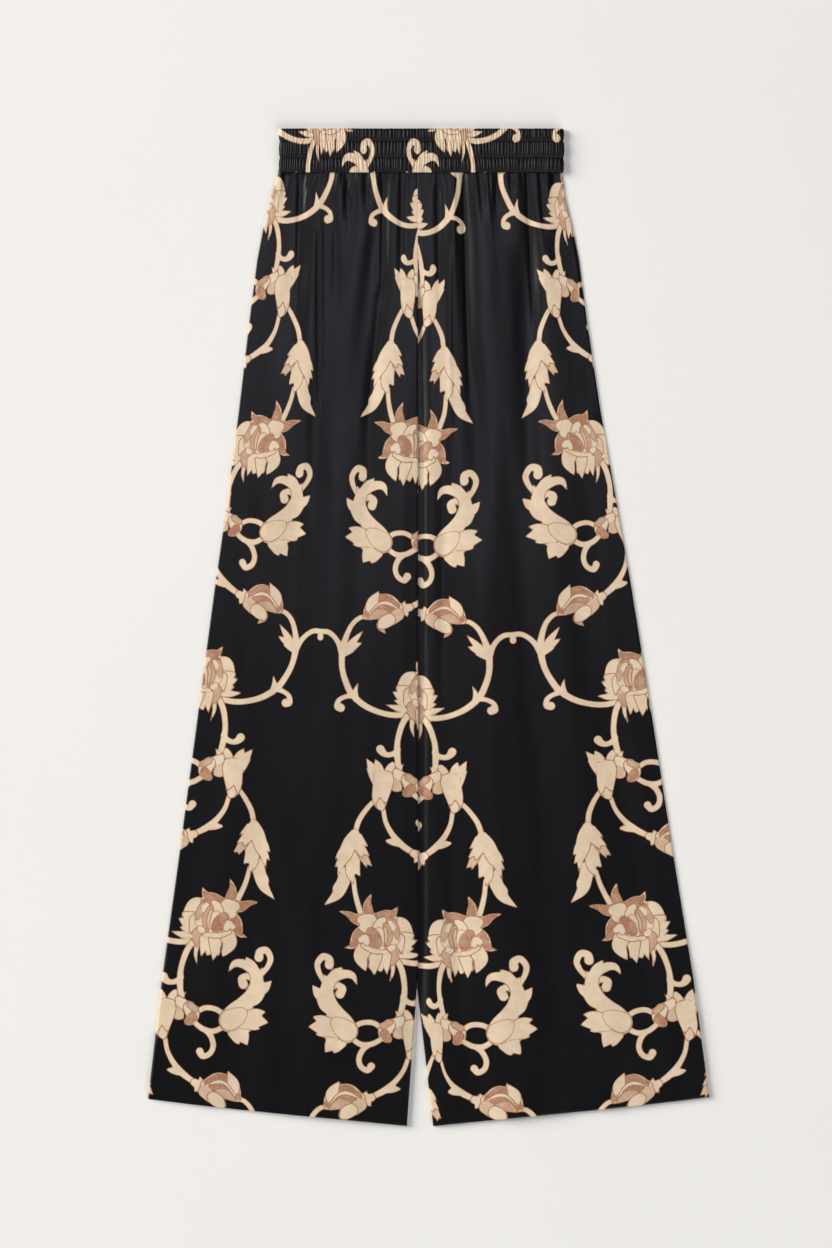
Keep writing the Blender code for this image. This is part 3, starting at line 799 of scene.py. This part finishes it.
def make_back(leg):
    """A back panel: flat on the floor, its edges turned up to meet the front's."""
    across, down, x = leg_grid(leg, BACK_COLUMNS, BACK_ROWS, BAND_HEIGHT - 0.004,
                               SIDE_TURN, SIDE_TURN, HEM_TURN)
    width = np.abs(inner_x(leg, down) - side_x(leg, down))
    side = turn_height(across * width, SIDE_TURN)
    inner = turn_height((1.0 - across) * width, SIDE_TURN)
    gathers = pleats(across, GATHER_PITCH, GATHER_SEEDS[f"back_{leg}"])
    rise = BACK_GATHER_DEPTH * gathers * np.exp(-(down - BAND_HEIGHT) / GATHER_FADE)
    z = BACK_LIFT + rise + (SIDE_MEET - 2.0 * BACK_LIFT) * (1.0 - side * inner)
    piece = grid_mesh(f"silk_back_{leg}", x, TOP_Y - down, z)
    face_up(piece)
    keep_print(piece, *leg_print_place(leg, x, down))
    return piece


def make_hem(face, leg):
    """A turned-up hem, inside its leg: the wrong side of the cloth shows."""
    share = np.linspace(0.0, 1.0, HEM_PIECE_ROWS + 1)[:, None]
    across = np.linspace(0.0, 1.0, HEM_PIECE_COLUMNS + 1)[None, :] + 0.0 * share
    down = hem_down(leg, across) - HEM_DEPTH * (1.0 - share) - HEM_TUCK
    direction = 1.0 if leg == "left" else -1.0
    outer = side_x(leg, down) + HEM_INSET * direction
    inner = inner_x(leg, down) - HEM_INSET * direction
    x = blend(outer, inner, across)
    if face == "front":
        z = front_form(leg, across, down, x) - SEAM_GAP - WALL / 2
    else:
        z = np.full_like(x, LAYER + WALL / 2)
    piece = grid_mesh(f"silk_hem_{face}_{leg}", x, TOP_Y - down, z)
    face_up(piece)
    folded = 2.0 * hem_down(leg, across) - down
    keep_print(piece, *leg_print_place(leg, x, folded))
    return piece


# ------------------------------------------------------------------ the waistband
def channel_of(share):
    """Which channel a share of the band's height is in, and how far down it."""
    edges = np.array(CHANNEL_EDGES)
    channel = np.clip(np.searchsorted(edges, share, side="right") - 1, 0, len(edges) - 2)
    return channel, (share - edges[channel]) / (edges[channel + 1] - edges[channel])


def band_outline():
    """The flattened ring seen from its top edge: x, z, outward direction, length along it."""
    radius = BAND_THICK / 2
    left, right = BAND_LEFT_X + radius, BAND_RIGHT_X - radius
    under = np.linspace(left, right, BAND_UNDER_COLUMNS, endpoint=False)
    over = np.linspace(right, left, BAND_COLUMNS, endpoint=False)
    turn = np.linspace(0.0, math.pi, BAND_END_COLUMNS, endpoint=False)
    flat_under, flat_over = np.zeros_like(under), np.zeros_like(over)
    x = np.concatenate([under, right + radius * np.sin(turn), over, left - radius * np.sin(turn)])
    z = np.concatenate([flat_under, radius - radius * np.cos(turn),
                        flat_over + BAND_THICK, radius + radius * np.cos(turn)])
    out_x = np.concatenate([flat_under, np.sin(turn), flat_over, -np.sin(turn)])
    out_z = np.concatenate([flat_under - 1.0, -np.cos(turn), flat_over + 1.0, np.cos(turn)])
    closed = [np.append(values, values[0]) for values in (x, z, out_x, out_z)]
    steps = np.hypot(np.diff(closed[0]), np.diff(closed[1]))
    return (*closed, np.concatenate([[0.0], np.cumsum(steps)]))


def band_profile():
    """Down the outside of the casing and back up inside: height share and depth."""
    radius = BAND_WALL / 2
    turn_share = radius / BAND_HEIGHT
    angles = np.linspace(0.0, math.pi, BAND_TURN_STEPS + 1)
    outside = np.linspace(turn_share, 1.0 - turn_share, BAND_ROWS + 1)
    inside = np.linspace(1.0 - turn_share, turn_share, BAND_INNER_ROWS + 1)
    top_share = turn_share * (1.0 - np.sin(angles[::-1]))
    bottom_share = 1.0 - turn_share * (1.0 - np.sin(angles))
    share = np.concatenate([top_share, outside[1:], bottom_share[1:], inside[1:]])
    depth = np.concatenate([radius * (1.0 - np.cos(angles[::-1])), np.zeros(BAND_ROWS),
                            radius * (1.0 - np.cos(angles[1:])), np.full(BAND_INNER_ROWS, BAND_WALL)])
    return share, depth


def ruche_lift(along, share, up):
    """How far the casing stands off its form: swollen channels, pleats, rows of stitching."""
    channel, place = channel_of(share)
    swell = np.sin(math.pi * place)
    lift = np.zeros(np.broadcast(along, share).shape)
    for index in range(len(CHANNEL_EDGES) - 1):
        lean = PLEAT_LEAN * np.sin(along / LEAN_LENGTH + index) * (place - 0.5)
        shifted = (along + lean).ravel()
        waves = pleats(shifted, PLEAT_PITCH, PLEAT_SEED + index, PLEAT_SHARPNESS).reshape(lift.shape)
        lift = np.where(channel == index, PLEAT_DEPTH * (waves - 0.5) * (0.55 + 0.45 * swell), lift)
    lift = lift + CHANNEL_BULGE * swell
    for edge in CHANNEL_EDGES[1:-1]:
        lift = lift - STITCH_DIP * np.exp(-((share - edge) * BAND_HEIGHT / STITCH_HALF) ** 2)
    return lift * up


def make_waistband():
    """The elastic casing: a flattened ring, turned over at its top and bottom edges."""
    x, z, out_x, out_z, along = band_outline()
    share, depth = band_profile()
    share, depth = share[:, None], depth[:, None]
    up = UNDER_RUCHE + (1.0 - UNDER_RUCHE) * smooth_step(z / BAND_THICK)
    outside = 1.0 - smooth_step(depth / (BAND_WALL * 0.6))
    lift = ruche_lift(along[None, :], share + 0.0 * x, up) * outside
    reach = lift - depth
    points_x = x + out_x * reach
    points_z = np.maximum(z + out_z * reach, 0.0)
    edge_wave = BAND_EDGE_WAVE * (pleats(along, PLEAT_PITCH, PLEAT_SEED) - 0.5)
    top_share = np.clip(1.0 - share / 0.1, 0.0, 1.0)
    down = share * BAND_HEIGHT - edge_wave * top_share
    piece = grid_mesh("silk_waistband", points_x, TOP_Y - down + 0.0 * x, points_z)
    keep_print(piece, *band_print_place(x + 0.0 * share, down + 0.0 * x))
    return piece


# ------------------------------------------------------------------ materials
def add_node(tree, kind, inputs=(), **settings):
    """A new node; inputs are (socket, value or another node's output) pairs."""
    node = tree.nodes.new(kind)
    for name, value in settings.items():
        setattr(node, name, value)
    for socket, value in inputs:
        if isinstance(value, bpy.types.NodeSocket):
            tree.links.new(value, node.inputs[socket])
        else:
            node.inputs[socket].default_value = value
    return node


def calculate(tree, operation, first, second=0.0):
    """A math node's result."""
    return add_node(tree, "ShaderNodeMath", [(0, first), (1, second)], operation=operation).outputs[0]


def remap(tree, value, low, high, to_low, to_high):
    """Value moved from one range to another, and kept inside it."""
    inputs = [("Value", value), ("From Min", low), ("From Max", high),
              ("To Min", to_low), ("To Max", to_high)]
    return add_node(tree, "ShaderNodeMapRange", inputs).outputs["Result"]


def mix_colour(tree, share, first, second):
    """A blend of two colours."""
    node = tree.nodes.new("ShaderNodeMix")
    node.data_type = "RGBA"
    # a colour mix takes its share at socket 0 and its colours at 6 and 7
    for socket, value in ((0, share), (6, first), (7, second)):
        if isinstance(value, bpy.types.NodeSocket):
            tree.links.new(value, node.inputs[socket])
        elif socket:
            node.inputs[socket].default_value = (*value, 1.0)
        else:
            node.inputs[socket].default_value = value
    return node.outputs[2]


def noise(tree, position, scale, detail=2.0, roughness=0.5):
    """Noise from 0 to 1, averaging a half."""
    inputs = [("Vector", position), ("Scale", scale), ("Detail", detail), ("Roughness", roughness)]
    return add_node(tree, "ShaderNodeTexNoise", inputs).outputs["Fac"]


def stretched(tree, position, scale, turn=0.0):
    """Coordinates scaled, and turned about Z."""
    inputs = [("Vector", position), ("Rotation", (0.0, 0.0, turn)), ("Scale", scale)]
    return add_node(tree, "ShaderNodeMapping", inputs).outputs["Vector"]


def bump(tree, height, strength, distance, over=None):
    """A normal that follows a height, on top of another normal where one is given."""
    inputs = [("Height", height), ("Strength", strength), ("Distance", distance)]
    if over is not None:
        inputs.append(("Normal", over))
    return add_node(tree, "ShaderNodeBump", inputs).outputs[0]


def print_distances(tree):
    """The stored distances: the figure's, each line set's, then each tint's."""
    values = []
    for name in ("print_lines", "print_tints", "print_more"):
        stored = add_node(tree, "ShaderNodeAttribute", attribute_name=name, attribute_type="GEOMETRY")
        parts = add_node(tree, "ShaderNodeSeparateXYZ", [(0, stored.outputs["Vector"])])
        values += [parts.outputs[0], parts.outputs[1], parts.outputs[2]]
    return values[:1 + LINE_SETS + len(TINTS)]


def print_colour(tree, position):
    """The print's colour over the ground, and how much of it is figure."""
    distances = print_distances(tree)
    figure = remap(tree, distances[0], -EDGE_SOFT, EDGE_SOFT, 1.0, 0.0)
    cloudy = noise(tree, position, CLOUD_SCALE, 3.0, 0.6)
    grainy = noise(tree, position, GRAIN_SCALE, 2.0, 0.6)
    wash = remap(tree, cloudy, 0.35, 0.65, 0.0, 1.0)
    colour = mix_colour(tree, wash, CREAM, CREAM_DEEP)
    for name, distance in zip(TINTS, distances[1 + LINE_SETS:]):
        tint, most = TINT_LOOKS[name]
        inside = remap(tree, distance, -TINT_SOFT, TINT_SOFT, most, 0.0)
        mottled = calculate(tree, "MULTIPLY", inside, remap(tree, cloudy, 0.32, 0.60, 0.70, 1.0))
        colour = mix_colour(tree, mottled, colour, tint)
    rim = remap(tree, distances[0], -RIM_WIDTH, -RIM_WIDTH / 2, 0.0, RIM_STRENGTH)
    colour = mix_colour(tree, rim, colour, LINE_BROWN)
    for line in distances[1:1 + LINE_SETS]:
        near = calculate(tree, "ABSOLUTE", line)
        drawn = remap(tree, near, LINE_HALF, LINE_HALF + LINE_SOFT, LINE_STRENGTH, 0.0)
        broken = calculate(tree, "MULTIPLY", drawn, remap(tree, grainy, 0.35, 0.6, 0.7, 1.0))
        colour = mix_colour(tree, broken, colour, LINE_BROWN)
    speckle = remap(tree, noise(tree, position, SPECKLE_SCALE, 1.0), 0.35, 0.65, 0.0, 1.0)
    colour = mix_colour(tree, calculate(tree, "MULTIPLY", speckle, SPECKLE), colour, CREAM_DEEP)
    ground = mix_colour(tree, speckle, INK, INK_WORN)
    return mix_colour(tree, figure, ground, colour), figure


def silk_bump(tree, position):
    """The twill's fine ribs, uneven yarns and faint creasing, as a normal."""
    turned = stretched(tree, position, (1, 1, 1), TWILL_TURN)
    ribs = add_node(tree, "ShaderNodeTexWave", [("Vector", turned), ("Scale", TWILL_SCALE),
                                                ("Distortion", 0.6), ("Detail", 1.0)])
    yarns = noise(tree, stretched(tree, position, (900.0, 90.0, 90.0)), 1.0, 1.0)
    creasing = noise(tree, stretched(tree, position, (60.0, 14.0, 30.0)), 1.0, 3.0, 0.55)
    ribbed = bump(tree, ribs.outputs["Fac"], *RIB_BUMP)
    uneven = bump(tree, yarns, *YARN_BUMP, over=ribbed)
    return bump(tree, creasing, *CREASING_BUMP, over=uneven)


def silk_material(name, roughness, sheen):
    """Printed silk: a near-black ground, the drawn figure, a soft satin gloss."""
    material = bpy.data.materials.new(name)
    material.use_nodes = True
    tree = material.node_tree
    shader = tree.nodes["Principled BSDF"]
    position = add_node(tree, "ShaderNodeTexCoord").outputs["Object"]
    colour, figure = print_colour(tree, position)
    tree.links.new(colour, shader.inputs["Base Color"])
    tree.links.new(silk_bump(tree, position), shader.inputs["Normal"])
    uneven = noise(tree, stretched(tree, position, (40.0, 8.0, 20.0)), 1.0, 3.0)
    gloss = remap(tree, uneven, 0.3, 0.7, roughness - GLOSS_SPREAD, roughness + GLOSS_SPREAD)
    inked = remap(tree, figure, 0.0, 1.0, 0.0, INKED_ROUGHER)
    tree.links.new(calculate(tree, "ADD", gloss, inked), shader.inputs["Roughness"])
    shader.inputs["Sheen Weight"].default_value = sheen
    shader.inputs["Sheen Roughness"].default_value = 0.4
    shader.inputs["IOR"].default_value = 1.45
    shader.inputs["Specular IOR Level"].default_value = SILK_SPECULAR
    return material


def plain_material(name, colour, roughness):
    """A faintly mottled matt surface."""
    material = bpy.data.materials.new(name)
    material.use_nodes = True
    tree = material.node_tree
    shader = tree.nodes["Principled BSDF"]
    position = add_node(tree, "ShaderNodeTexCoord").outputs["Object"]
    mottle = noise(tree, position, 3.0)
    paler = tuple(min(value * 1.03, 1.0) for value in colour)
    tree.links.new(mix_colour(tree, mottle, colour, paler), shader.inputs["Base Color"])
    shader.inputs["Roughness"].default_value = roughness
    return material


# ------------------------------------------------------------------ studio
def make_camera():
    """Straight above the trousers, as far off as the picture's flat perspective asks."""
    data = bpy.data.cameras.new("camera")
    data.lens = CAMERA_LENS
    data.sensor_width = 36.0
    camera = bpy.data.objects.new("camera", data)
    camera.location = CAMERA_PLACE
    bpy.context.scene.collection.objects.link(camera)
    bpy.context.scene.camera = camera


def make_light(name, place, aim, size, power, colour):
    """A rectangular area light, turned to what it lights."""
    data = bpy.data.lights.new(name, "AREA")
    data.shape = "RECTANGLE"
    data.size, data.size_y = size
    data.energy = power
    data.color = colour
    light = bpy.data.objects.new(name, data)
    light.location = place
    light.rotation_euler = (Vector(aim) - Vector(place)).to_track_quat("-Z", "Y").to_euler()
    bpy.context.scene.collection.objects.link(light)


def make_floor():
    """The pale sheet that the trousers lie on."""
    half = FLOOR_SIZE / 2
    mesh = bpy.data.meshes.new("floor")
    corners = [(x, y, FLOOR_Z) for x, y in ((-half, -half), (half, -half), (half, half), (-half, half))]
    mesh.from_pydata(corners, [], [(0, 1, 2, 3)])
    mesh.materials.append(plain_material("paper", PAPER, 0.9))
    floor = bpy.data.objects.new("floor", mesh)
    bpy.context.scene.collection.objects.link(floor)


def make_world():
    """Dim even light from all round, which softens the shadows."""
    world = bpy.data.worlds.new("studio")
    world.use_nodes = True
    background = world.node_tree.nodes["Background"]
    background.inputs["Color"].default_value = (*WORLD_COLOUR, 1.0)
    background.inputs["Strength"].default_value = WORLD_STRENGTH
    bpy.context.scene.world = world


def place_piece(piece, node, material):
    """Tie a piece to the frame in place of its CAD solid."""
    piece.data.materials.append(material)
    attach(piece, "root")
    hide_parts(node)


def dress_leg(leg, silks):
    """A leg's two hems, its front and its back, each in place of its solid."""
    for face in ("front", "back"):
        hem = make_hem(face, leg)
        place_piece(hem, f"hem_{face}_{leg}", silks["hem_silk"])
    front = make_front(leg)
    place_piece(front, f"front_{leg}", silks["leg_silk"])
    back = make_back(leg)
    place_piece(back, f"back_{leg}", silks["leg_silk"])


def dress_waist(silks):
    """The waistband, in place of its solid."""
    band = make_waistband()
    place_piece(band, "waistband", silks["band_silk"])


def main():
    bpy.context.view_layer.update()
    bpy.context.scene.view_settings.view_transform = "Standard"
    make_camera()
    make_world()
    for row in LIGHTS:
        make_light(*row)
    make_floor()
    silks = {name: silk_material(name, *look) for name, look in SILKS.items()}
    for leg in ("left", "right"):
        dress_leg(leg, silks)
    dress_waist(silks)


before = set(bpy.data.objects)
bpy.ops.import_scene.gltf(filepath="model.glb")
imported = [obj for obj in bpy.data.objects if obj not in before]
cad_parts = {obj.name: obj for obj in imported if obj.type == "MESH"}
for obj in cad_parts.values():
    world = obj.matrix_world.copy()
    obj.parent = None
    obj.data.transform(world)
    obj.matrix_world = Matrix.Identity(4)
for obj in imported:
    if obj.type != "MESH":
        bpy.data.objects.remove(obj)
main()
